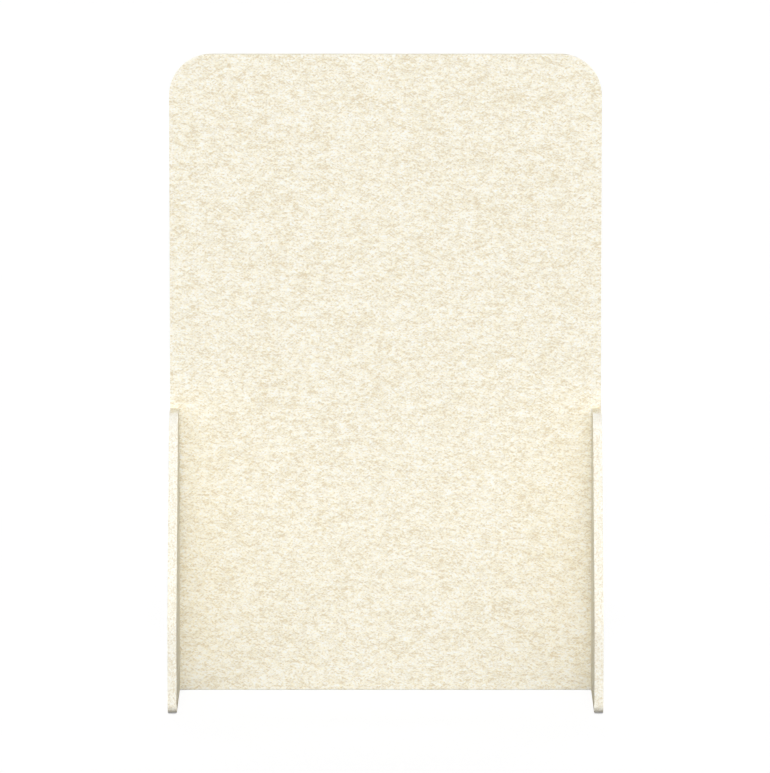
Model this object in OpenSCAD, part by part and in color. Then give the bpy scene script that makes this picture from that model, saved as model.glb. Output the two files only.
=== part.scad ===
// Free-standing acoustic screen: one upright felt board between two felt side legs.
// X runs across the screen, -Y is its front and Z is up. The origin is on the floor,
// under the middle of the panel. The legs are held by dowels and by bolts that run
// from their outer faces into cross nuts in the panel.

/* [Board] */
// Thickness of the felt board that the panel and both legs are cut from
board_t = 25; // [22:1:40]

/* [Panel] */
// Width of the panel, which is also the width over both legs
panel_w = 1200; // [800:10:1600]
// Height of the panel board
panel_h = 1785; // [1200:5:2200]
// Radius of the panel's two top corners
panel_corner_r = 115; // [40:5:200]

/* [Legs] */
// Height of a leg board
leg_h = 795; // [600:5:1000]
// How far a leg stands out from each face of the panel, at the floor
leg_reach = 390; // [300:5:500]
// How far the square corner that the top rounding takes off stands out from the panel
leg_top_reach = 126; // [90:2:160]
// Height of the knee above the leg's underside, where the slanted edge turns upright
knee_h = 250; // [200:10:350]
// Radius of the leg's rounded top corners
leg_corner_r = 110; // [60:5:130]
// Radius of the knee
knee_r = 140; // [80:10:200]
// Radius of the toe
toe_r = 22; // [10:1:30]

/* [Bolts] */
// Number of bolts in each leg
bolt_count = 3; // [2:1:5]
// Height of the lowest bolt above the leg's underside, and of its top above the highest
bolt_end_inset = 90; // [50:5:150]
// Diameter of the bolt's thread
bolt_d = 6; // [4:1:8]
// Length of the bolt under its head
bolt_l = 70; // [60:5:100]
// Diameter of the bolt's flat head
bolt_head_d = 17; // [14:1:20]
// Thickness of the bolt's head
bolt_head_t = 2.5; // [2:0.5:4]
// Width across the flats of the hexagon socket
socket_w = 4; // [3:0.5:5]
// Depth of the hexagon socket
socket_depth = 3; // [2:0.5:4]
// Bevel at the bolt's tip
bolt_bevel = 1; // [0.5:0.25:1.5]

/* [Washers and caps] */
// Diameter of the washer and of the cap
washer_d = 30; // [24:1:40]
// Thickness of the washer
washer_t = 1.5; // [1:0.5:3]
// Thickness of the cap's disc
cap_t = 2; // [1.5:0.5:3]
// Bevel round the cap's outer edge
cap_bevel = 0.5; // [0.25:0.25:1]
// Length of the cap's peg, which grips the bolt's socket
cap_peg_l = 2.5; // [1:0.5:2.5]

/* [Cross nuts] */
// Diameter of the cross nut
nut_d = 10; // [9:1:14]
// Distance from the panel's notched edge to the nut's axis
nut_inset = 38; // [25:1:45]
// How far the nut's end lies below the panel's back face
nut_recess = 1; // [0.5:0.5:3]
// Felt left between the nut's far end and the panel's front face
nut_web = 6; // [4:1:8]
// Width of the nut's screwdriver slot
slot_w = 1.6; // [1:0.2:2]
// Depth of the nut's screwdriver slot
slot_depth = 1.2; // [0.8:0.2:2]

/* [Dowels] */
// Diameter of the dowels
dowel_d = 10; // [6:1:12]
// Length of a dowel
dowel_l = 40; // [30:5:60]
// Length of a dowel that is in the leg
dowel_in_leg = 15; // [10:1:18]
// Bevel at each end of a dowel
dowel_bevel = 1; // [0.5:0.5:2]

/* [Glides] */
// Diameter of a glide's foot, which is let into the leg's underside
glide_d = 18; // [14:1:20]
// Height of a glide's foot
glide_h = 3; // [2.5:0.5:8]
// How far a foot stands out under its leg, which is as far as the boards are off the floor
glide_proud = 0.5; // [0.5:0.5:2]
// Bevel round the glide's sole
glide_bevel = 0.8; // [0.4:0.2:1.6]
// Distance from the toe to a glide's axis
glide_inset = 60; // [50:5:120]
// Diameter of the glide's stem between its barbs
stem_d = 7; // [5:0.5:9]
// Length of the stem
stem_l = 24; // [16:2:36]
// Number of barbs on the stem
barb_count = 4; // [2:1:6]
// How far a barb stands out from the stem
barb_h = 0.6; // [0.4:0.1:1]

/* [Clearances] */
// Gap all round a bolt in its holes, and round a washer, cap or glide's foot in its recess
bolt_gap = 0.3; // [0.2:0.1:0.5]
// Gap between a bolt's thread and the nut
thread_gap = 0.1; // [0.05:0.05:0.2]
// Gap all round a nut, dowel or glide stem in its hole
fit_gap = 0.15; // [0.1:0.05:0.3]
// Room past a dowel's, nut's or stem's end in its hole
end_gap = 0.5; // [0.5:0.5:1]
// Room past a bolt's tip in its hole
tip_room = 3; // [1:1:6]

/* [Hidden] */
$fn = 96;

// How far every cut runs past the face that it leaves by
overrun = 1;

// Colours
felt_colour = [0.96, 0.94, 0.87];
steel_colour = [0.74, 0.75, 0.76];
cap_colour = [0.93, 0.91, 0.84];
beech_colour = [0.83, 0.68, 0.48];
glide_colour = [0.88, 0.87, 0.84];

// The boards stand on the glides
base_z = glide_proud;
half_w = panel_w / 2;
half_t = board_t / 2;
// The legs' inner faces, which the panel's notched edges meet
joint_x = half_w - board_t;
// The legs' outlines, out from the middle of the panel
leg_half_d = half_t + leg_reach;
leg_half_top = half_t + leg_top_reach;

// Depths under the leg's outer face, where the cap, bolt head and washer are stacked
head_depth = cap_t;
seat_depth = cap_t + bolt_head_t;
recess_depth = seat_depth + washer_t;
recess_d = washer_d + 2 * bolt_gap;
// How far a bolt runs into the panel's edge
bolt_in_panel = seat_depth + bolt_l - board_t;
bolt_hole_d = bolt_d + 2 * bolt_gap;
nut_l = board_t - nut_recess - nut_web;
// How far a glide's foot is let into its leg
foot_depth = glide_h - glide_proud;
barb_pitch = stem_l / (barb_count + 1);
barb_d = stem_d + 2 * barb_h;

bolt_pitch = (leg_h - 2 * bolt_end_inset) / (bolt_count - 1);
bolt_zs = [for (i = [0:bolt_count - 1]) base_z + bolt_end_inset + i * bolt_pitch];
// A dowel lies midway between each two bolts
dowel_zs = [for (i = [0:bolt_count - 2]) bolt_zs[i] + bolt_pitch / 2];

// Outlines, anticlockwise, with a radius for each corner
panel_corners = [
    [-joint_x, base_z], [joint_x, base_z],
    [joint_x, base_z + leg_h], [half_w, base_z + leg_h],
    [half_w, base_z + panel_h], [-half_w, base_z + panel_h],
    [-half_w, base_z + leg_h], [-joint_x, base_z + leg_h]];
panel_radii = [0, 0, 0, 0, panel_corner_r, panel_corner_r, 0, 0];
leg_corners = [
    [-leg_half_d, base_z], [leg_half_d, base_z],
    [leg_half_d, base_z + knee_h], [leg_half_top, base_z + leg_h],
    [-leg_half_top, base_z + leg_h], [-leg_half_d, base_z + knee_h]];
leg_radii = [toe_r, toe_r, knee_r, leg_corner_r, leg_corner_r, knee_r];

function unit(v) = v / norm(v);
// Cosine of the angle at corner b, between its neighbours a and c
function corner_cos(a, b, c) = unit(a - b) * unit(c - b);
// How far along each side of the corner a rounding of radius r runs
function run_out(a, b, c, r) = r * sqrt((1 + corner_cos(a, b, c)) / (1 - corner_cos(a, b, c)));
// Distance from the corner to the centre of the rounding
function centre_out(a, b, c, r) = r / sqrt((1 - corner_cos(a, b, c)) / 2);
// The one or two points that the outline has at corner b
function corner_points(a, b, c, r) = r == 0 ? [b] :
    [b + unit(a - b) * run_out(a, b, c, r), b + unit(c - b) * run_out(a, b, c, r)];

// A flat outline whose outward corners are rounded by discs
module rounded_outline(corners, radii) {
    n = len(corners);
    polygon([for (i = [0:n - 1])
        each corner_points(corners[(i + n - 1) % n], corners[i], corners[(i + 1) % n], radii[i])]);
    for (i = [0:n - 1])
        if (radii[i] > 0) {
            a = corners[(i + n - 1) % n];
            b = corners[i];
            c = corners[(i + 1) % n];
            translate(b + unit(unit(a - b) + unit(c - b)) * centre_out(a, b, c, radii[i]))
                circle(r = radii[i]);
        }
}

// Pieces are drawn for the right-hand leg and mirrored for the left-hand one
module on_left() { mirror([1, 0, 0]) children(); }

// Turns a piece that is drawn along Z so that it runs from x into the screen
module inward(x, z) { translate([x, 0, z]) rotate([0, -90, 0]) children(); }

// A round bar along Z with the same bevel at its foot and its top
module bevelled_bar(d, l, foot_bevel, top_bevel) {
    rotate_extrude()
        polygon([[0, 0], [d / 2 - foot_bevel, 0], [d / 2, foot_bevel],
                 [d / 2, l - top_bevel], [d / 2 - top_bevel, l], [0, l]]);
}

module panel() {
    color(felt_colour)
    difference() {
        translate([0, half_t, 0]) rotate([90, 0, 0]) linear_extrude(board_t)
            rounded_outline(panel_corners, panel_radii);
        panel_edge_bores();
        on_left() panel_edge_bores();
    }
}

// Bores in the panel's right-hand notched edge and the nut bores from its back face
module panel_edge_bores() {
    for (z = bolt_zs) {
        inward(joint_x + overrun, z)
            cylinder(d = bolt_hole_d, h = bolt_in_panel + tip_room + overrun);
        translate([joint_x - nut_inset, half_t + overrun, z]) rotate([90, 0, 0])
            cylinder(d = nut_d + 2 * fit_gap, h = nut_recess + nut_l + end_gap + overrun);
    }
    for (z = dowel_zs)
        inward(joint_x + overrun, z)
            cylinder(d = dowel_d + 2 * fit_gap, h = dowel_l - dowel_in_leg + end_gap + overrun);
}

module leg_board() {
    color(felt_colour)
    difference() {
        translate([joint_x, 0, 0]) rotate([90, 0, 90]) linear_extrude(board_t)
            rounded_outline(leg_corners, leg_radii);
        for (z = bolt_zs) {
            inward(half_w + overrun, z) cylinder(d = recess_d, h = recess_depth + overrun);
            inward(half_w + overrun, z) cylinder(d = bolt_hole_d, h = board_t + 2 * overrun);
        }
        for (z = dowel_zs)
            inward(joint_x + dowel_in_leg + end_gap, z)
                cylinder(d = dowel_d + 2 * fit_gap, h = dowel_in_leg + end_gap + overrun);
        for (front = [-1, 1])
            translate([half_w - half_t, front * (leg_half_d - glide_inset), base_z - overrun]) {
                cylinder(d = glide_d + 2 * bolt_gap, h = foot_depth + overrun);
                cylinder(d = barb_d + 2 * fit_gap, h = foot_depth + stem_l + end_gap + overrun);
            }
    }
}

module left_leg() { on_left() leg_board(); }
module right_leg() { leg_board(); }

module connector_bolts() {
    color(steel_colour)
    for (z = bolt_zs)
        difference() {
            union() {
                inward(half_w - head_depth, z)
                    bevelled_bar(bolt_head_d, bolt_head_t, bolt_head_t / 4, 0);
                inward(half_w - seat_depth, z)
                    bevelled_bar(bolt_d, bolt_l, 0, bolt_bevel);
            }
            inward(half_w - head_depth + overrun, z)
                cylinder(d = socket_w / cos(30), h = socket_depth + overrun, $fn = 6);
        }
}

module left_bolts() { on_left() connector_bolts(); }
module right_bolts() { connector_bolts(); }

module bolt_washers() {
    color(steel_colour)
    for (z = bolt_zs)
        inward(half_w - seat_depth, z)
            difference() {
                cylinder(d = washer_d, h = washer_t);
                translate([0, 0, -overrun]) cylinder(d = bolt_hole_d, h = washer_t + 2 * overrun);
            }
}

module left_bolt_washers() { on_left() bolt_washers(); }
module right_bolt_washers() { bolt_washers(); }

module bolt_caps() {
    color(cap_colour)
    for (z = bolt_zs)
        inward(half_w, z) {
            bevelled_bar(washer_d, cap_t, cap_bevel, 0);
            translate([0, 0, cap_t])
                cylinder(d = (socket_w - 2 * thread_gap) / cos(30), h = cap_peg_l, $fn = 6);
        }
}

module left_bolt_caps() { on_left() bolt_caps(); }
module right_bolt_caps() { bolt_caps(); }

module barrel_nuts() {
    color(steel_colour)
    for (z = bolt_zs)
        difference() {
            translate([joint_x - nut_inset, half_t - nut_recess, z]) rotate([90, 0, 0])
                cylinder(d = nut_d, h = nut_l);
            inward(joint_x - nut_inset + nut_d, z)
                cylinder(d = bolt_d + 2 * thread_gap, h = 2 * nut_d);
            translate([joint_x - nut_inset - nut_d, half_t - nut_recess - slot_depth, z - slot_w / 2])
                cube([2 * nut_d, slot_depth + overrun, slot_w]);
        }
}

module left_barrel_nuts() { on_left() barrel_nuts(); }
module right_barrel_nuts() { barrel_nuts(); }

module dowels() {
    color(beech_colour)
    for (z = dowel_zs)
        inward(joint_x + dowel_in_leg, z)
            bevelled_bar(dowel_d, dowel_l, dowel_bevel, dowel_bevel);
}

module left_dowels() { on_left() dowels(); }
module right_dowels() { dowels(); }

// One glide under the right-hand leg: front is -1 for the front one and 1 for the rear one
module glide(front) {
    color(glide_colour)
    translate([half_w - half_t, front * (leg_half_d - glide_inset), 0])
        rotate_extrude()
            polygon([
                [0, 0], [glide_d / 2 - glide_bevel, 0], [glide_d / 2, glide_bevel],
                [glide_d / 2, glide_h],
                for (i = [0:barb_count - 1]) each [
                    [stem_d / 2, glide_h + i * barb_pitch],
                    [stem_d / 2, glide_h + (i + 1 / 2) * barb_pitch],
                    [barb_d / 2, glide_h + (i + 1 / 2) * barb_pitch]],
                [stem_d / 2, glide_h + barb_count * barb_pitch],
                [stem_d / 2, glide_h + stem_l - barb_h],
                [stem_d / 2 - barb_h, glide_h + stem_l],
                [0, glide_h + stem_l]]);
}

module left_front_glide() { on_left() glide(-1); }
module left_rear_glide() { on_left() glide(1); }
module right_front_glide() { glide(-1); }
module right_rear_glide() { glide(1); }

panel();
left_leg();
right_leg();
left_bolts();
right_bolts();
left_bolt_washers();
right_bolt_washers();
left_bolt_caps();
right_bolt_caps();
left_barrel_nuts();
right_barrel_nuts();
left_dowels();
right_dowels();
left_front_glide();
left_rear_glide();
right_front_glide();
right_rear_glide();
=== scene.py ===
# %% [markdown]
# # A free-standing felt screen
#
# The screen is three boards of pressed felt: an upright panel, and a leg at each side that
# keeps it from tipping. Bolts, cross nuts and dowels hold the joints, and the legs stand on
# four glides let into them. All of these are already there as the frame, in size and place.
# This lesson dresses the frame. It models the felt boards again with softened edges, gives
# every piece a finish built from noise and fibres, and sets up the camera and the light.
# Everything is in metres. X runs across the screen, -Y is its front and Z is up.

# %% Load the frame
import math

import bmesh
import bpy
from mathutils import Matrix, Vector


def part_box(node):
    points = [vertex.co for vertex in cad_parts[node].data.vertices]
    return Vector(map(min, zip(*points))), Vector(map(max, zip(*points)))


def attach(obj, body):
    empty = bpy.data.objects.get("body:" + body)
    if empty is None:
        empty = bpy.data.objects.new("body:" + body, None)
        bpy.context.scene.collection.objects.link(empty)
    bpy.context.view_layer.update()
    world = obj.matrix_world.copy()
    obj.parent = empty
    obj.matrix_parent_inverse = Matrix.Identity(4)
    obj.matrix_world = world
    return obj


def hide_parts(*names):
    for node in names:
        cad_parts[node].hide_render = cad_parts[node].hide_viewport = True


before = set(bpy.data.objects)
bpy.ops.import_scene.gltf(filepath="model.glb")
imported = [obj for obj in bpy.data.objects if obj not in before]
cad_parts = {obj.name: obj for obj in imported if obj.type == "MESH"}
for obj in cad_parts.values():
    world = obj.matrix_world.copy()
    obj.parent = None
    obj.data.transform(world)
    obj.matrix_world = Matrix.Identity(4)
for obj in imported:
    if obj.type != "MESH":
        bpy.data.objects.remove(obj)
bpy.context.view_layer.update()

print("pieces in the frame:", len(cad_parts))

# %% [markdown]
# ## The camera
#
# The screen is seen through a very long lens from 24 m away, from a little above, so its
# edges look almost parallel. A short lens close by could show the panel just as large, but
# it would show much more of the legs' inner faces. The distance is that of a camera fitted to
# the photograph's edges: it makes the legs' fronts only 1.6% larger than the panel.

# %% Camera
PHOTO_SIZE = (770, 773)          # pixels
FOCAL_LENGTH = 8804              # in pixels
SENSOR = 36.0                    # mm, along the longer side
CAMERA_DISTANCE = 24.29          # from the panel's front face
CAMERA_HEIGHT = 4.195            # above the boards' lower edges
CAMERA_TILT = math.radians(7.826)
MIDDLE_OFFSET = 0.49             # pixels by which the screen stands right of the middle
FAR_CLIP = 200

panel_low, panel_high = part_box("panel")
bpy.ops.object.select_all(action="DESELECT")
bpy.ops.object.camera_add(
    location=(0, panel_low.y - CAMERA_DISTANCE, panel_low.z + CAMERA_HEIGHT),
    rotation=(math.pi / 2 - CAMERA_TILT, 0, 0))
camera = bpy.context.object
camera.name = "camera"
camera.data.sensor_width = SENSOR
camera.data.lens = SENSOR * FOCAL_LENGTH / max(PHOTO_SIZE)
camera.data.shift_x = -MIDDLE_OFFSET / max(PHOTO_SIZE)
camera.data.clip_end = FAR_CLIP
bpy.context.scene.camera = camera
print("lens:", round(camera.data.lens), "mm")

# %% [markdown]
# ## Drawing a board's outline
#
# A router cuts each board out of a flat sheet, so each one starts here as a flat outline.
# The corners could be rounded with a vertex bevel, but that gives a true arc only at a right
# angle, and the legs have blunt corners too. So the outline is drawn as with a pencil: one
# point is extruded along each straight side and spun round the centre of each rounding. The
# closed line is filled, and the face is extruded by the board's thickness.

# %% Pencil
ARC_STEP = math.radians(3)       # the most that one step of a rounding turns
MERGE_DISTANCE = 1e-5
STARTER = 0.01                   # the side of a small face that is merged into the first point


def rounding(before, corner, after, radius):
    """Where the rounding of a corner starts, its centre, and how far it turns."""
    to_before = (before - corner).normalized()
    to_after = (after - corner).normalized()
    half_angle = to_before.angle(to_after) / 2
    start = corner + to_before * (radius / math.tan(half_angle))
    centre = corner + (to_before + to_after).normalized() * (radius / math.sin(half_angle))
    return start, centre, math.pi - 2 * half_angle


def draw_board(name, corners, radii, through):
    """A board with this outline, where through is its thickness as a vector."""
    pencil = (corners[0] + corners[1]) / 2
    bpy.ops.object.select_all(action="DESELECT")
    bpy.ops.mesh.primitive_plane_add(size=STARTER, location=pencil)
    board = bpy.context.object
    board.name = name
    bpy.ops.object.transform_apply(location=True)
    bpy.ops.object.mode_set(mode="EDIT")
    bpy.ops.mesh.select_mode(type="VERT")
    bpy.ops.mesh.merge(type="CENTER")
    for i in [*range(1, len(corners)), 0]:
        before, corner, after = corners[i - 1], corners[i], corners[(i + 1) % len(corners)]
        start, centre, turn = corner, corner, 0.0
        if radii[i] > 0:
            start, centre, turn = rounding(before, corner, after, radii[i])
        bpy.ops.mesh.extrude_vertices_move(TRANSFORM_OT_translate={"value": start - pencil})
        pencil = start
        if turn > 0:
            axis = (corner - before).cross(after - corner).normalized()
            steps = math.ceil(turn / ARC_STEP)
            bpy.ops.mesh.spin(steps=steps, angle=-turn, center=centre, axis=axis)
            spoke = start - centre
            pencil = centre + spoke * math.cos(turn) + axis.cross(spoke) * math.sin(turn)
    bpy.ops.mesh.select_all(action="SELECT")
    bpy.ops.mesh.remove_doubles(threshold=MERGE_DISTANCE)
    bpy.ops.mesh.edge_face_add()
    bpy.ops.mesh.extrude_region_move(TRANSFORM_OT_translate={"value": through})
    bpy.ops.mesh.select_all(action="SELECT")
    bpy.ops.mesh.normals_make_consistent(inside=False)
    bpy.ops.object.mode_set(mode="OBJECT")
    print(name, "has", len(board.data.vertices), "points and measures",
          [round(side, 4) for side in board.dimensions])
    return board


# %% [markdown]
# ## Softened edges
#
# The cutter leaves a crisp edge on pressed felt, and handling soon rubs it round. A razor
# sharp edge would also catch no light, which makes a model look thin and hard. So each board
# gets a small rounded bevel, only where two faces meet at a sharp angle: the fine steps of
# the outline's own arcs are left alone.

# %% Edge bevel
EDGE_ROUND = 0.0012
EDGE_STEPS = 3
EDGE_ANGLE = math.radians(35)


def select_only(piece):
    """Makes a piece the active one, and the only one that is selected."""
    bpy.ops.object.select_all(action="DESELECT")
    bpy.context.view_layer.objects.active = piece
    piece.select_set(True)


def apply_modifier(piece, modifier):
    """Makes a modifier part of the piece's mesh."""
    select_only(piece)
    bpy.ops.object.modifier_apply(modifier=modifier.name)


def soften_edges(board):
    """Rounds a board's sharp edges."""
    bevel = board.modifiers.new("edge", "BEVEL")
    bevel.limit_method = "ANGLE"
    bevel.angle_limit = EDGE_ANGLE
    bevel.width = EDGE_ROUND
    bevel.segments = EDGE_STEPS
    apply_modifier(board, bevel)
    print(board.name, "has", len(board.data.polygons), "faces with its edges rounded")


# %% [markdown]
# ## Drilling
#
# The bolts, dowels, nuts and glides sit in drilled holes. Each hole is cut with a drill
# modelled for it, a cylinder. Its top is flared a little for the mouths that no other piece
# covers, because felt frays and packs down there. A boolean takes the drill out of the board.
# It can leave points a hair apart, so those are merged afterwards, and open edges are counted.

# %% Drill
DRILL_SIDES = 64
DRILL_OVERRUN = 0.002            # how far a drill reaches past a surface that it cuts through
FACING_UP = 0.9                  # a face whose normal's Z is above this faces up
HAIR = 2e-6


def choose_faces(piece, wanted):
    """In edit mode, selects the faces that wanted says yes to, and no others."""
    bpy.ops.mesh.select_mode(type="FACE")
    bpy.ops.mesh.select_all(action="DESELECT")
    mesh = bmesh.from_edit_mesh(piece.data)
    for face in mesh.faces:
        face.select_set(wanted(face))
    bmesh.update_edit_mesh(piece.data)


def drill(board, mouth, outwards, diameter, depth, flare=0.0):
    """Drills a hole whose mouth is on the board's surface, where outwards points out of it."""
    bpy.ops.object.select_all(action="DESELECT")
    bpy.ops.mesh.primitive_cylinder_add(
        vertices=DRILL_SIDES, radius=diameter / 2, depth=depth - flare,
        location=(0, 0, -(depth + flare) / 2))
    bit = bpy.context.object
    bpy.ops.object.transform_apply(location=True)
    bpy.ops.object.mode_set(mode="EDIT")
    choose_faces(bit, lambda face: face.normal.z > FACING_UP)
    if flare > 0:
        bpy.ops.mesh.extrude_region_move(TRANSFORM_OT_translate={"value": (0, 0, flare)})
        widening = 1 + 2 * flare / diameter
        bpy.ops.transform.resize(value=(widening, widening, 1), center_override=(0, 0, 0))
    bpy.ops.mesh.extrude_region_move(TRANSFORM_OT_translate={"value": (0, 0, DRILL_OVERRUN)})
    bpy.ops.object.mode_set(mode="OBJECT")
    bit.rotation_euler = outwards.to_track_quat("Z", "Y").to_euler()
    bit.location = mouth
    cut = board.modifiers.new("hole", "BOOLEAN")
    cut.operation = "DIFFERENCE"
    cut.solver = "EXACT"
    cut.object = bit
    apply_modifier(board, cut)
    bpy.data.objects.remove(bit)


def tidy_mesh(board):
    """Merges points that drilling left a hair apart, and counts open edges."""
    select_only(board)
    bpy.ops.object.mode_set(mode="EDIT")
    bpy.ops.mesh.select_all(action="SELECT")
    bpy.ops.mesh.remove_doubles(threshold=HAIR)
    bpy.ops.mesh.dissolve_degenerate(threshold=HAIR)
    mesh = bmesh.from_edit_mesh(board.data)
    open_edges = [edge for edge in mesh.edges if not edge.is_manifold]
    print(board.name, "has", len(mesh.faces), "faces and", len(open_edges), "open edges")
    bpy.ops.object.mode_set(mode="OBJECT")


# %% [markdown]
# ## Where the joints are
#
# The frame knows where every bolt, dowel, nut and glide sits, so their places are read from
# the boxes round those pieces. The middle bolt is halfway between the other two, and each
# dowel is halfway between two bolts.

# %% Joint places
cap_low, cap_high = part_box("right_bolt_caps")
nut_low, nut_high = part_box("right_barrel_nuts")
bolt_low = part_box("right_bolts")[0]
washer_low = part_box("right_bolt_washers")[0]
dowel_low, dowel_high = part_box("right_dowels")
leg_low, leg_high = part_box("right_leg")

cap_diameter = cap_high.y - cap_low.y
lowest_bolt = cap_low.z + cap_diameter / 2
highest_bolt = cap_high.z - cap_diameter / 2
bolt_heights = [lowest_bolt, (lowest_bolt + highest_bolt) / 2, highest_bolt]
dowel_heights = [(bolt_heights[i] + bolt_heights[i + 1]) / 2 for i in (0, 1)]
joint_x = leg_low.x
print("bolts at", [round(z, 4) for z in bolt_heights], "and dowels at",
      [round(z, 4) for z in dowel_heights])

# %% [markdown]
# ## The panel
#
# The panel is one large board with two rounded top corners. Its lower sides are notched by
# the legs' thickness, so that the legs stand flush with the panel's edges above them. The
# bolts and dowels enter its notched edges, and the cross nuts are let in from the back, out of
# sight from the front.

# %% Panel board
PANEL_CORNER = 0.115
HOLE_FLARE = 0.0005
BOLT_DIAMETER = 0.006
BOLT_GAP = 0.0003                # round a bolt, a washer, a cap or a glide's foot
FIT_GAP = 0.00015                # round a nut, a dowel or a glide's stem
END_GAP = 0.0005                 # past the end of a nut, a dowel or a glide's stem
TIP_ROOM = 0.003                 # past a bolt's tip

RIGHT = Vector((1, 0, 0))
LEFT = -RIGHT
BACK = Vector((0, 1, 0))
DOWN = Vector((0, 0, -1))

panel_outline = [Vector((x, panel_high.y, z)) for x, z in (
    (-joint_x, panel_low.z), (joint_x, panel_low.z),
    (joint_x, leg_high.z), (panel_high.x, leg_high.z),
    (panel_high.x, panel_high.z), (panel_low.x, panel_high.z),
    (panel_low.x, leg_high.z), (-joint_x, leg_high.z))]
panel_thickness = panel_high.y - panel_low.y
panel = draw_board("felt_panel", panel_outline,
                   [0, 0, 0, 0, PANEL_CORNER, PANEL_CORNER, 0, 0],
                   Vector((0, -panel_thickness, 0)))
soften_edges(panel)

for side in (RIGHT, LEFT):
    edge = side * joint_x
    for z in bolt_heights:
        drill(panel, edge + Vector((0, 0, z)), side, BOLT_DIAMETER + 2 * BOLT_GAP,
              joint_x - bolt_low.x + TIP_ROOM)
        nut_x = (nut_low.x + nut_high.x) / 2
        nut_mouth = Vector((side.x * nut_x, panel_high.y, z))
        drill(panel, nut_mouth, BACK, nut_high.x - nut_low.x + 2 * FIT_GAP,
              panel_high.y - nut_low.y + END_GAP, HOLE_FLARE)
    for z in dowel_heights:
        drill(panel, edge + Vector((0, 0, z)), side,
              dowel_high.y - dowel_low.y + 2 * FIT_GAP, joint_x - dowel_low.x + END_GAP)
tidy_mesh(panel)

# %% [markdown]
# ## The legs
#
# A leg is a board on edge. It is narrow at the top and reaches far out at the floor, at the
# front and at the back alike, which is what holds the tall panel upright. Its upper corners
# and its knees are broad roundings, and its toes are small ones. The right leg is modelled,
# and a copy of it is mirrored to the left. Mirroring turns a mesh inside out, so the copy's
# normals are made to point outwards again.

# %% Leg boards
LEG_TOP_HALF = 0.1385            # half the leg's depth at the top, before the rounding
KNEE_HEIGHT = 0.25               # above the leg's lower edge
LEG_CORNER = 0.11
KNEE = 0.14
TOE = 0.022
FOOT_HEIGHT = 0.003              # of a glide's foot, most of which is let into the leg
STEM_WIDTH = 0.0082              # of a glide's stem, over its barbs

leg_outline = [Vector((leg_low.x, y, z)) for y, z in (
    (leg_low.y, leg_low.z), (leg_high.y, leg_low.z),
    (leg_high.y, leg_low.z + KNEE_HEIGHT), (LEG_TOP_HALF, leg_high.z),
    (-LEG_TOP_HALF, leg_high.z), (leg_low.y, leg_low.z + KNEE_HEIGHT))]
leg_thickness = leg_high.x - leg_low.x
right_leg = draw_board("felt_right_leg", leg_outline,
                       [TOE, TOE, KNEE, LEG_CORNER, LEG_CORNER, KNEE],
                       Vector((leg_thickness, 0, 0)))
soften_edges(right_leg)

outer_face = RIGHT * leg_high.x
for z in bolt_heights:
    height = Vector((0, 0, z))
    drill(right_leg, outer_face + height, RIGHT, cap_diameter + 2 * BOLT_GAP,
          leg_high.x - washer_low.x, HOLE_FLARE)
    drill(right_leg, outer_face + height, RIGHT, BOLT_DIAMETER + 2 * BOLT_GAP,
          leg_thickness + DRILL_OVERRUN)
for z in dowel_heights:
    drill(right_leg, Vector((joint_x, 0, z)), LEFT, dowel_high.y - dowel_low.y + 2 * FIT_GAP,
          dowel_high.x - joint_x + END_GAP)
for end in ("front", "rear"):
    glide_low, glide_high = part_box("right_" + end + "_glide")
    underside = (glide_low + glide_high) / 2
    underside.z = leg_low.z
    drill(right_leg, underside, DOWN, glide_high.x - glide_low.x + 2 * BOLT_GAP,
          FOOT_HEIGHT - leg_low.z, HOLE_FLARE)
    drill(right_leg, underside, DOWN, STEM_WIDTH + 2 * FIT_GAP,
          glide_high.z - leg_low.z + END_GAP)
tidy_mesh(right_leg)

select_only(right_leg)
bpy.ops.object.duplicate(linked=False)
left_leg = bpy.context.object
left_leg.name = "felt_left_leg"
bpy.ops.object.mode_set(mode="EDIT")
bpy.ops.mesh.select_all(action="SELECT")
bpy.ops.transform.resize(value=(-1, 1, 1), center_override=(0, 0, 0))
bpy.ops.mesh.normals_make_consistent(inside=False)
bpy.ops.object.mode_set(mode="OBJECT")
print("the legs have", len(right_leg.data.polygons), "and", len(left_leg.data.polygons), "faces")

# %% [markdown]
# ## Smooth shading and a check
#
# The arcs are made of short flats, so the boards are shaded smooth, except across the sharp
# rims of the holes. Weighted normals then keep the large faces looking flat. Each board is
# measured against the CAD piece that it replaces: the two volumes differ by little more than
# the felt that the rounded edges and the flared mouths of the holes take off.

# %% Shading and volumes
SMOOTH_ANGLE = math.radians(40)


def volume(piece):
    """The volume that a piece's mesh encloses, in cubic metres."""
    mesh = bmesh.new()
    mesh.from_mesh(piece.data)
    enclosed = mesh.calc_volume()
    mesh.free()
    return enclosed


def shade_board(board):
    """Shades a board smooth along its arcs and flat on its faces."""
    select_only(board)
    bpy.ops.object.shade_smooth_by_angle(angle=SMOOTH_ANGLE)
    weighted = board.modifiers.new("normals", "WEIGHTED_NORMAL")
    weighted.keep_sharp = True
    apply_modifier(board, weighted)


boards = {"panel": panel, "left_leg": left_leg, "right_leg": right_leg}
for node, board in boards.items():
    shade_board(board)
    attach(board, "root")
    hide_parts(node)
    "felt_panel" if node == "panel" else "felt_leg"
    share = volume(board) / volume(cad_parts[node])
    print(board.name, "holds", round(100 * share, 2), "percent of the CAD volume")

# %% [markdown]
# ## A sketchpad for shaders
#
# A finish is a net of nodes. Drawing it node by node hides the sum that it works out, so one
# small class wraps a node's output, and then plain Python sums of those add the Math nodes.
# Every other node comes from one method: its settings go in first, then its inputs. Where two
# inputs of a node share one name, as on the Mix node, they go by their number.

# %% Wires
# The Mix node's inputs and its output, in its colour mode
MIX_SHARE, MIX_FIRST, MIX_SECOND = 0, 6, 7
MIX_RESULT = 2


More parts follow.
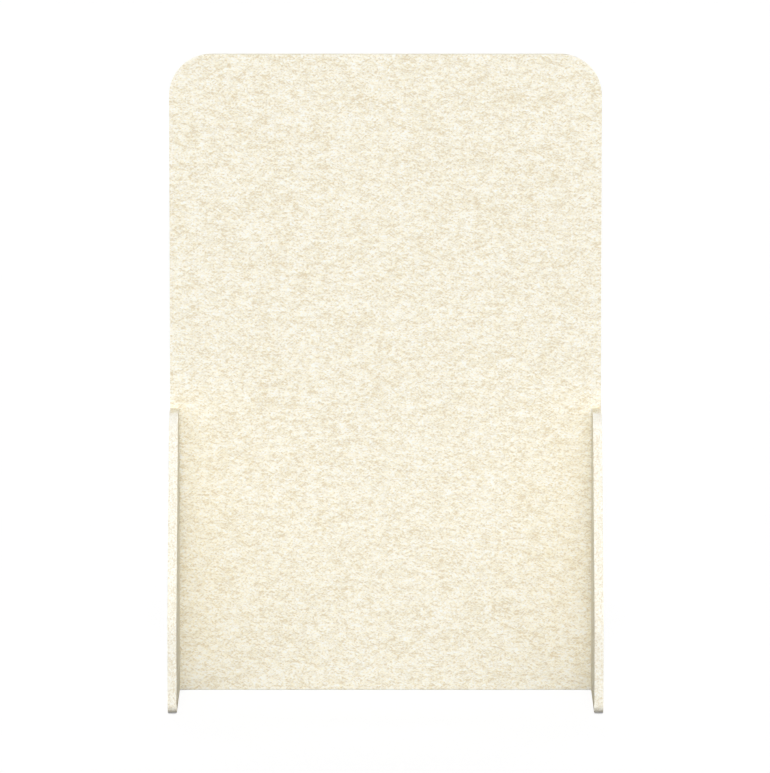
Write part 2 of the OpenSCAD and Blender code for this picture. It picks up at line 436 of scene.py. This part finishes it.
class Wire:
    """One output in a material's net of nodes, which can be used in sums."""

    def __init__(self, tree, socket=None):
        self.tree = tree
        self.socket = socket

    def node(self, kind, settings=None, inputs=None, output=0):
        """Adds a node and returns the wire of one of its outputs."""
        node = self.tree.nodes.new(kind)
        for name, value in (settings or {}).items():
            if name == "stops":
                ramp = node.color_ramp
                for position, colour in value[1:-1]:
                    ramp.elements.new(position)
                for element, (position, colour) in zip(ramp.elements, value):
                    element.position = position
                    element.color = (*colour, 1)
            else:
                setattr(node, name, value)
        for name, value in (inputs or {}).items():
            if isinstance(value, Wire):
                self.tree.links.new(value.socket, node.inputs[name])
            else:
                node.inputs[name].default_value = value
        return Wire(self.tree, node.outputs[output]) if node.outputs else None

    def maths(self, operation, first, second=0.0):
        """Adds a Math node."""
        return self.node("ShaderNodeMath", {"operation": operation}, {0: first, 1: second})

    def mix(self, share, first, second, blend="MIX"):
        """Adds a Mix node for two colours, each a wire or three numbers."""
        first, second = (colour if isinstance(colour, Wire) else (*colour, 1)
                         for colour in (first, second))
        return self.node("ShaderNodeMix", {"data_type": "RGBA", "blend_type": blend},
                         {MIX_SHARE: share, MIX_FIRST: first, MIX_SECOND: second},
                         output=MIX_RESULT)

    def __add__(self, other):
        return self.maths("ADD", self, other)

    def __radd__(self, other):
        return self.maths("ADD", other, self)

    def __sub__(self, other):
        return self.maths("SUBTRACT", self, other)

    def __rsub__(self, other):
        return self.maths("SUBTRACT", other, self)

    def __mul__(self, other):
        return self.maths("MULTIPLY", self, other)

    def __rmul__(self, other):
        return self.maths("MULTIPLY", other, self)


def new_finish(name):
    """An empty material and the wire that its net starts from."""
    finish = bpy.data.materials.new(name)
    finish.use_nodes = True
    finish.node_tree.nodes.clear()
    return finish, Wire(finish.node_tree)


def surface(net, inputs, settings=None):
    """Ends a net with the Principled shader and the material's output."""
    shader = net.node("ShaderNodeBsdfPrincipled", settings, inputs)
    net.node("ShaderNodeOutputMaterial", None, {"Surface": shader})


# %% [markdown]
# ## Felt
#
# The boards are pressed from short fibres: a cream ground, with tan and near-white fibres
# carded into it that lie mostly level, on the panel and the legs alike. A picture of felt would
# repeat and blur. Noise doesn't: stretched along the grain and tilted, one layer of it looks
# like fibres of one length, and several layers of different size and tilt, added up, look
# like a heathered wool. A slow sway bends them all, so that none is ruler straight.

# %% Fibres
SWAY_SIZE = 0.030
SWAY = 0.007


def noise(place, detail):
    """Noise around 0 whose blots are about 1 across."""
    return place.node("ShaderNodeTexNoise", None,
                      {"Vector": place, "Scale": 1.0, "Detail": detail}) - 0.5


def blots(place, size, tilt, detail):
    """Noise around 0 whose blots have this size along X, Y and Z, and are tilted about Y."""
    return noise(place.node("ShaderNodeMapping", {"vector_type": "TEXTURE"}, {
        "Vector": place, "Rotation": (0, math.radians(tilt), 0), "Scale": size}), detail)


def fibres(place, long, thick, tilt, detail=0.0):
    """Noise around 0 whose blots are this long and thick, and tilted from the grain."""
    return blots(place, (long, thick, thick), tilt, detail)


def between(value, low, high):
    """0 below low, 1 above high, and a soft step between them."""
    return value.node("ShaderNodeMapRange", {"interpolation_type": "SMOOTHSTEP"},
                      {"Value": value, "From Min": low, "From Max": high})


def object_place(net):
    """The place on the piece, in metres."""
    return net.node("ShaderNodeTexCoord", output="Object")


# %% [markdown]
# ## The felt's tone
#
# The heather is a play of light and dark on one cream colour. So the layers are first added up
# to a single number, the tone: 0 is the felt's middle tone, and most of the felt lies within 2
# of it. Threads are the crests of further layers and only darken it. A colour ramp then
# turns the tone into a colour: what is darker is also browner, and the lightest fibres are
# nearly white.

# %% Tone
# Length, thickness and tilt of the blots in metres and degrees, and the layer's weight
GROUND_LAYERS = (
    (0.0600, 0.0300, -4, 1.6),
    (0.0300, 0.0150, 4, 2.7),
    (0.0180, 0.0090, -7, 3.2),
    (0.0100, 0.0065, 5, 2.0),
    (0.0060, 0.0045, 0, 5.8),
    (0.0300, 0.0035, 4, 3.0),
    (0.0180, 0.0028, -7, 2.6),
)
# The same for the tan threads, of which only the crests of the noise show
THREAD_LAYERS = (
    (0.0280, 0.0042, 17, 1.1),
    (0.0200, 0.0040, -38, 1.7),
    (0.0180, 0.0026, 30, 2.1),
    (0.0045, 0.0045, 0, 2.3),
)
THREAD_START, THREAD_FULL = 0.10, 0.22
THREAD_COVER = 0.12              # the share of the felt that one layer of threads covers
WIDEST_TONE = 3.0

# Tone, and the felt's colour there
FELT_COLOURS = (
    (-3.0, (0.774, 0.688, 0.515)),
    (-1.8, (0.839, 0.779, 0.626)),
    (-0.6, (0.894, 0.853, 0.724)),
    (0.1, (0.922, 0.888, 0.776)),
    (0.7, (0.952, 0.919, 0.812)),
    (1.5, (0.988, 0.957, 0.859)),
    (2.2, (0.994, 0.986, 0.908)),
    (3.0, (0.995, 0.992, 0.942)),
)
FELT_STOPS = [((tone + WIDEST_TONE) / (2 * WIDEST_TONE), colour) for tone, colour in FELT_COLOURS]


def felt_tone(place):
    """How light the felt is, where 0 is its middle tone."""
    tone = THREAD_COVER * sum(layer[-1] for layer in THREAD_LAYERS)
    for long, thick, tilt, weight in GROUND_LAYERS:
        tone = tone + weight * fibres(place, long, thick, tilt)
    for long, thick, tilt, weight in THREAD_LAYERS:
        tone = tone - weight * between(fibres(place, long, thick, tilt), THREAD_START, THREAD_FULL)
    return tone


# %% [markdown]
# ## The felt's relief and cut sides
#
# From close by, felt is a mat of hair-fine fibres, with small pits between them. A picture at
# arm's length needs no hairs, but light that rakes across the board does show its nap, so a
# bump map raises fine fibres by a few hundredths of a millimetre, and the same noise paints
# shade into the pits. The cut sides show how such a board is made: thin layers, pressed flat
# on each other, which run round every edge. The cut sides are also painted a little paler,
# and the roundings that face up palest, as a painted highlight, while a painted shade makes
# the level tops browner. In the photograph the level tops are browner than the rest, and the
# roundings that face up are palest. Wear and standing nap may be why, or only the light, so both
# are plain tones here. Masks made from the direction that the surface faces tell the cut sides,
# roundings and tops from the broad faces.

# %% Relief
# Length, thickness, tilt and weight, as above
NAP_LAYERS = (
    (0.0090, 0.0009, 8, 1.0),
    (0.0070, 0.0008, -32, 0.8),
    (0.0012, 0.0012, 0, 0.8),
)
NAP_HEIGHT = 0.0002
# painted shade: how much the pits between the fine fibres are darkened, as a tone
NAP_PIT_SHADE = 0.8
LAYER_LENGTH, LAYER_THICKNESS = 0.025, 0.0011
LAYER_TONE = 2.0
# the colour of the painted highlight on the cut sides and the upward roundings
PAINTED_HIGHLIGHT = (0.985, 0.980, 0.940)
CUT_HIGHLIGHT = 0.18                 # how far the cut sides go towards that colour, as a painted highlight
CREST_HIGHLIGHT = 0.34               # how much further the roundings that face up go, as a painted highlight
TOP_SHADE = 1.2                  # how much browner painted shade makes the level tops, as a tone
# How squarely a surface faces a way, as a share, between which its mask softly sets in
BROAD_FACING = (0.5, 0.9)        # out of one of the two broad faces
CREST_FACING = (0.35, 0.8)       # upwards, for the roundings
LEVEL_FACING = (0.96, 1.0)       # upwards, for the level tops
ROUGHNESS, ROUGHNESS_SWING = 0.94, 0.06


def nap(place):
    """The height of the finest fibres around 0."""
    height = 0.0
    for long, thick, tilt, weight in NAP_LAYERS:
        height = height + weight * fibres(place, long, thick, tilt, detail=1.0)
    return height


def pressed_layers(place):
    """Noise around 0 in thin sheets that lie flat in the board, square to its thickness."""
    return blots(place, (LAYER_LENGTH, LAYER_THICKNESS, LAYER_LENGTH), 0, detail=2.0)


def coordinate(place, letter):
    """One coordinate of a place, or of a direction."""
    return place.node("ShaderNodeSeparateXYZ", None, {"Vector": place}, output=letter)


def cut_side(facing):
    """1 on the board's cut sides, and 0 on its two broad faces."""
    across = coordinate(facing, "Y")
    return 1 - between(across.maths("ABSOLUTE", across), *BROAD_FACING)


def crest(facing):
    """1 where the surface faces up, on a rounding or a level top, and 0 where it is upright."""
    return between(coordinate(facing, "Z"), *CREST_FACING)


def level_top(facing):
    """1 where the surface lies level and faces up."""
    return between(coordinate(facing, "Z"), *LEVEL_FACING)


# %% [markdown]
# ## The finished felt
#
# The net first turns the place on the board so that X runs along its grain and Y through its
# thickness. The panel needs no turn, and the legs stand at a right angle to it. Some fibres
# are a touch more yellow than others, which a thin veil of warm colour over part of the felt
# gives. Felt has no gloss to speak of, so its shine is low and its roughness high.

# %% Felt
WARM_SIZE = (0.0055, 0.0035)
WARM_EDGE = 0.2                  # the veil comes in while the noise rises from -0.2 to this
WARM_VEIL = (1.0, 0.972, 0.885)
LAYER_RELIEF = 2                 # how much more the pressed layers stand out than the nap
FELT_SHINE = 0.2


def felt(name, turn):
    """A heathered felt whose grain is the X axis turned by this many degrees about Z."""
    finish, net = new_finish(name)
    turned = {"Rotation": (0, 0, math.radians(turn))}
    place = net.node("ShaderNodeMapping", None, {"Vector": object_place(net), **turned})
    facing = net.node("ShaderNodeMapping", {"vector_type": "NORMAL"},
                      {"Vector": net.node("ShaderNodeTexCoord", output="Normal"), **turned})
    sway = net.node("ShaderNodeTexNoise", None,
                    {"Vector": place, "Scale": 1 / SWAY_SIZE, "Detail": 1.0}, output="Color")
    swayed = net.node("ShaderNodeVectorMath", {"operation": "MULTIPLY_ADD"},
                      {0: sway, 1: (SWAY, SWAY, SWAY), 2: place})
    fine = nap(swayed)
    cut, shaded_top = cut_side(facing), level_top(facing)
    # painted highlight on the cut sides and the upward roundings, none on the level tops
    painted_highlight = CUT_HIGHLIGHT * (cut - shaded_top) + CREST_HIGHLIGHT * (cut * crest(facing) - shaded_top)
    sheets = cut * pressed_layers(place)
    # the level tops are darkened by painted shade
    tone = felt_tone(swayed) + NAP_PIT_SHADE * fine + LAYER_TONE * sheets - TOP_SHADE * shaded_top
    colour = net.node("ShaderNodeValToRGB", {"stops": FELT_STOPS},
                      {"Fac": (tone + WIDEST_TONE) * (1 / (2 * WIDEST_TONE))})
    warm = between(fibres(swayed, *WARM_SIZE, 0), -WARM_EDGE, WARM_EDGE)
    colour = net.mix(warm, colour, WARM_VEIL, blend="MULTIPLY")
    colour = net.mix(painted_highlight, colour, PAINTED_HIGHLIGHT)
    relief = net.node("ShaderNodeBump", None,
                      {"Distance": NAP_HEIGHT, "Height": fine + LAYER_RELIEF * sheets})
    surface(net, {"Base Color": colour, "Roughness": ROUGHNESS + ROUGHNESS_SWING * fine,
                  "Normal": relief, "Specular IOR Level": FELT_SHINE})
    return finish


panel_felt = felt("panel_felt", 0)
leg_felt = felt("leg_felt", 90)
for board in boards.values():
    board.data.materials.clear()
    board.data.materials.append(panel_felt if board is panel else leg_felt)
print("nodes in the felt:", len(panel_felt.node_tree.nodes))

# %% [markdown]
# ## Zinc-plated steel
#
# The bolts, washers and cross nuts are steel under a thin bright zinc, which is a little blue
# in places and a little straw-coloured in others. A lathe or a punch leaves fine marks under
# the zinc: rings round the axis of each bolt and washer, and lines along the cross nuts, which
# are cut from a drawn bar. The three bolts of a leg are one piece here, so the rings are drawn
# round whichever bolt's axis is nearest. A painted grey would look dead beside real metal, so
# the finish is a true metal whose marks change its roughness and bend its reflections.

# %% Steel
ZINC_BLUE = (0.60, 0.62, 0.65)
ZINC_STRAW = (0.67, 0.65, 0.59)
TINT_BLOTS = (0.006, 0.005, 20)  # length, thickness and tilt of the straw-coloured blots
TINT_EDGE = 0.15                 # the tint changes while the noise rises from -0.15 to this
ZINC_ROUGHNESS = 0.34
MARK_ROUGHNESS, TINT_ROUGHNESS = 0.25, 0.08
MARK_PITCH = 0.00025
MARK_LENGTH = 80 * MARK_PITCH    # of the lines along a drawn bar
MARK_DEPTH = 0.00003
THREAD_PITCH = 0.001
THREAD_DEPTH = 0.0005
bolt_pitch = bolt_heights[1] - bolt_heights[0]


def bolt_distance(place):
    """The distance from the nearest bolt's axis."""
    above = place.node("ShaderNodeMath", {"operation": "WRAP"}, {
        0: coordinate(place, "Z") - lowest_bolt, 1: bolt_pitch / 2, 2: -bolt_pitch / 2})
    across = coordinate(place, "Y")
    return place.maths("SQRT", across * across + above * above)


def lathe_marks(place):
    """Fine rings round the bolts' axes, around 0."""
    rings = place.node("ShaderNodeCombineXYZ", None, {
        "X": bolt_distance(place) * (1 / MARK_PITCH),
        "Y": coordinate(place, "X") * (1 / MARK_PITCH)})
    return noise(rings, detail=1.0)


def drawn_marks(place):
    """Fine lines along Y, the way that the bar was drawn, around 0."""
    return blots(place, (MARK_PITCH, MARK_LENGTH, MARK_PITCH), 0, detail=1.0)


def screw_thread(place):
    """The thread's ridges, from 0 to 1, and 0 further from a bolt's axis than its shank."""
    ridge = place.maths("PINGPONG", coordinate(place, "X"), THREAD_PITCH / 2) * (2 / THREAD_PITCH)
    shank = BOLT_DIAMETER / 2
    return ridge * (1 - between(bolt_distance(place), shank, shank + BOLT_GAP))


def zinc_steel(name, marks, threaded=False):
    """Zinc-plated steel whose marks the given function draws, with threads or without."""
    finish, net = new_finish(name)
    place = object_place(net)
    tint = between(fibres(place, *TINT_BLOTS, detail=2.0), -TINT_EDGE, TINT_EDGE)
    colour = net.mix(tint, ZINC_BLUE, ZINC_STRAW)
    drawn = marks(place)
    height = MARK_DEPTH * drawn
    if threaded:
        height = height + THREAD_DEPTH * screw_thread(place)
    relief = net.node("ShaderNodeBump", None, {"Distance": 1.0, "Height": height})
    roughness = ZINC_ROUGHNESS + MARK_ROUGHNESS * drawn + TINT_ROUGHNESS * tint
    surface(net, {"Base Color": colour, "Metallic": 1.0, "Roughness": roughness,
                  "Normal": relief})
    return finish


bolt_steel = zinc_steel("bolt_steel_turned", lathe_marks, threaded=True)
washer_steel = zinc_steel("washer_steel_punched", lathe_marks)
nut_steel = zinc_steel("nut_steel_drawn", drawn_marks)
print("steel finishes:", bolt_steel.name, washer_steel.name, nut_steel.name)

# %% [markdown]
# ## Moulded plastic
#
# The caps and the glides are moulded. A mould is spark-eroded, which gives the plastic a fine
# pebbled grain, and the colour is never quite even. Hands and floors then leave scuffs: short
# scratches that are paler and duller than the rest. The caps are dyed to go with the felt. The
# glides are natural nylon, scuffed more than the caps, and a little dirty on the sole that they
# stand on.

# %% Plastic
CAP_CREAM = (0.84, 0.79, 0.65)
NYLON = (0.72, 0.70, 0.64)
FLOOR_DIRT = (0.45, 0.42, 0.37)
PALER = 0.3                      # how far scuffs and clouds go towards white
# Length, thickness and tilt of the blots, and the noise between which they set in
CLOUDS, CLOUD_EDGE = (0.006, 0.005, 0), (-0.25, 0.25)
SCUFFS = ((0.0060, 0.00025, 25), (0.0050, 0.00025, -50))
SCUFF_EDGE = (0.12, 0.25)
STAINS, STAIN_EDGE = (0.004, 0.003, 0), (-0.2, 0.3)
CLOUD_COVER = 0.25               # how far the clouds change the colour
PLASTIC_ROUGHNESS, CLOUD_ROUGHNESS, SCUFF_ROUGHNESS = 0.5, 0.2, 0.3
GRAIN_SIZE = 0.0004
GRAIN_DEPTH = 0.00002
SOLE_HEIGHT = 0.0008


def moulded_plastic(name, colour, scuffing, dirt=0.0):
    """A moulded plastic, scuffed by this much, and with this much dirt on a sole at the floor."""
    finish, net = new_finish(name)
    place = object_place(net)
    paler = tuple(level + PALER * (1 - level) for level in colour)
    cloud = between(fibres(place, *CLOUDS, detail=2.0), *CLOUD_EDGE)
    scuffs = scuffing * between(fibres(place, *SCUFFS[0]), *SCUFF_EDGE)
    scuffs = scuffs + scuffing * between(fibres(place, *SCUFFS[1]), *SCUFF_EDGE)
    shade = net.mix(CLOUD_COVER * cloud + scuffs, colour, paler)
    sole = 1 - between(coordinate(place, "Z"), SOLE_HEIGHT / 2, SOLE_HEIGHT)
    stain = dirt * sole * between(fibres(place, *STAINS, detail=3.0), *STAIN_EDGE)
    shade = net.mix(stain, shade, FLOOR_DIRT)
    grain = fibres(place, GRAIN_SIZE, GRAIN_SIZE, 0, detail=1.0)
    relief = net.node("ShaderNodeBump", None,
                      {"Distance": 1.0, "Height": GRAIN_DEPTH * (grain - scuffs)})
    roughness = PLASTIC_ROUGHNESS + CLOUD_ROUGHNESS * cloud + SCUFF_ROUGHNESS * scuffs
    surface(net, {"Base Color": shade, "Roughness": roughness, "Normal": relief})
    return finish


cap_plastic = moulded_plastic("cap_plastic_cream", CAP_CREAM, 0.3)
glide_plastic = moulded_plastic("glide_nylon", NYLON, 0.6, dirt=0.7)
print("plastic finishes:", cap_plastic.name, glide_plastic.name)

# %% [markdown]
# ## Beech
#
# The dowels are turned from beech, with the grain along them. Beech is an even, warm, pinkish
# brown. It has faint growth lines, and it is known by its flecks: short, dark dashes, less
# than a millimetre wide, all over it. Stretched noise makes the lines, and the crests of a
# much finer one make the flecks.

# %% Wood
BEECH_LIGHT = (0.66, 0.46, 0.26)
BEECH_DARK = (0.52, 0.33, 0.17)
BEECH_FLECK = (0.34, 0.19, 0.09)
GROWTH, GROWTH_EDGE = (0.040, 0.0014, 2), (-0.2, 0.2)
FLECKS, FLECK_EDGE = (0.0022, 0.00028, 0), (0.14, 0.24)
FLECK_COVER = 0.8
WOOD_ROUGHNESS, GROWTH_ROUGHNESS = 0.55, 0.15
FLECK_DEPTH = 0.00003

beech, net = new_finish("beech_turned")
place = object_place(net)
growth = between(fibres(place, *GROWTH, detail=2.0), *GROWTH_EDGE)
flecks = between(fibres(place, *FLECKS), *FLECK_EDGE)
wood = net.mix(growth, BEECH_LIGHT, BEECH_DARK)
wood = net.mix(FLECK_COVER * flecks, wood, BEECH_FLECK)
pores = net.node("ShaderNodeBump", None, {"Distance": 1.0, "Height": -FLECK_DEPTH * flecks})
surface(net, {"Base Color": wood, "Roughness": WOOD_ROUGHNESS + GROWTH_ROUGHNESS * growth,
              "Normal": pores})
print("nodes in the beech:", len(beech.node_tree.nodes))

# %% [markdown]
# ## Finishes on the small parts
#
# The small parts keep their CAD shape and only get a finish. Each kind comes on a left and a
# right leg, so the kinds are looked up by the last word of a part's name.

# %% Small parts
SMALL_PARTS = {"bolts": bolt_steel, "washers": washer_steel, "nuts": nut_steel,
               "caps": cap_plastic, "dowels": beech, "glide": glide_plastic}

for node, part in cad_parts.items():
    kind = node.split("_")[-1]
    if kind in SMALL_PARTS:
        for slot in part.material_slots:
            slot.material = SMALL_PARTS[kind]
        print(node, "has", [slot.material.name for slot in part.material_slots])

# %% [markdown]
# ## Floor and surroundings
#
# The screen stands on a white floor that runs into white surroundings. Whatever the camera
# or a mirror sees there is white by its own light, while the light that both throw onto the
# screen stays modest. A floor lit to white by lamps would burn the felt out first. The floor
# still darkens where the screen shades it: a little by the lamps' real shadows, and to a light
# grey in the narrow gap under the boards, which an ambient occlusion node finds. That soft
# shade reaches a little further out at the toes, whose rounding hangs over the floor.

# %% Floor and surroundings
GLOW = 0.08                      # the surroundings' light on the screen, where 1 is white
FLOOR_SIZE = 240
FLOOR_GREY = 0.08                # what the floor throws back onto the screen
FLOOR_SHADED = 0.12              # the part of the floor's white that real shadows take away
FLOOR_WHITE = 0.46               # the part that goes where the floor is closely covered
FLOOR_REST = 0.45                # the part that is always there
COVER_REACH = 0.04               # how far off a board still covers the floor
COVER_SAMPLES = 8
COVERED, OPEN = 0.05, 0.45       # shares of open sky between which the floor turns white
TOE_SHADE = 0.30                 # the share of sky that counts as covered at the toes as well
TOE_ZONE = 0.03                  # how far in from the toes that begins


def grey(level):
    """A grey as a colour socket takes it."""
    return (level, level, level, 1)


def seen_directly(net):
    """1 for the camera, mirrors and glass, 0 for the light that is thrown about."""
    seen = [net.node("ShaderNodeLightPath", output=kind + " Ray")
            for kind in ("Is Camera", "Is Glossy", "Is Transmission")]
    return net.maths("MAXIMUM", seen[0], net.maths("MAXIMUM", seen[1], seen[2]))


bpy.ops.object.select_all(action="DESELECT")
bpy.ops.mesh.primitive_plane_add(size=FLOOR_SIZE)
floor = bpy.context.object
floor.name = "floor"
floor_finish, net = new_finish("floor")
sky = net.node("ShaderNodeAmbientOcclusion", {"samples": COVER_SAMPLES},
               {"Distance": COVER_REACH}, output="AO")
depth = coordinate(object_place(net), "Y")
at_toes = between(depth.maths("ABSOLUTE", depth), leg_high.y - TOE_ZONE, leg_high.y)
own_light = FLOOR_REST + FLOOR_WHITE * between(sky - TOE_SHADE * at_toes, COVERED, OPEN)
seen_floor = net.node("ShaderNodeAddShader", None, {
    0: net.node("ShaderNodeBsdfDiffuse", None, {"Color": grey(FLOOR_SHADED)}),
    1: net.node("ShaderNodeEmission", None, {"Color": grey(1), "Strength": own_light})})
floor_shader = net.node("ShaderNodeMixShader", None, {
    0: seen_directly(net),
    1: net.node("ShaderNodeBsdfDiffuse", None, {"Color": grey(FLOOR_GREY)}),
    2: seen_floor})
net.node("ShaderNodeOutputMaterial", None, {"Surface": floor_shader})
floor.data.materials.append(floor_finish)

world = bpy.data.worlds.new("surroundings")
bpy.context.scene.world = world
world.use_nodes = True
world.node_tree.nodes.clear()
net = Wire(world.node_tree)
strength = GLOW + (1 - GLOW) * seen_directly(net)
background = net.node("ShaderNodeBackground", None, {"Color": grey(1), "Strength": strength})
net.node("ShaderNodeOutputWorld", None, {"Surface": background})
print("the floor measures", FLOOR_SIZE, "m a side")

# %% [markdown]
# ## Lamps
#
# Most of the light comes from straight in front, so the legs' inner faces, which look
# sideways, stay clearly darker than the panel. Pairs of lamps to the left and right of the
# front let each leg shade the panel beside it only gently, and a high one lights the legs'
# rounded corners. Lamps at the sides, a little to the rear, and one behind keep the other views
# from going grey. Together they light the panel's front to about the colour of its felt.
# Distant sun lamps do this evenly over the whole screen.

# %% Lamps
LAMPS = {
    # name: level, where 1 lights a facing surface to its own colour; degrees round the
    # screen, where 0 is its front and 90 its right; degrees up; degrees that the lamp fills
    "key": (0.373, 0, 10, 30),
    "high": (0.340, 0, 50, 10),
    "near_right": (0.1415, 25, 15, 30),
    "near_left": (0.1415, -25, 15, 30),
    "far_right": (0.186, 50, 0, 30),
    "far_left": (0.186, -50, 0, 30),
    "side_right": (0.72, 110, 5, 20),
    "side_left": (0.72, -110, 5, 20),
    "back": (0.72, 180, 12, 60),
}

for name, (level, round_about, up, width) in LAMPS.items():
    bpy.ops.object.light_add(type="SUN", rotation=(
        math.radians(90 - up), 0, math.radians(round_about)))
    lamp = bpy.context.object
    lamp.name = name
    lamp.data.energy = level * math.pi
    lamp.data.angle = math.radians(width)
print("lamps:", len(LAMPS))

bpy.context.scene.view_settings.view_transform = "Standard"
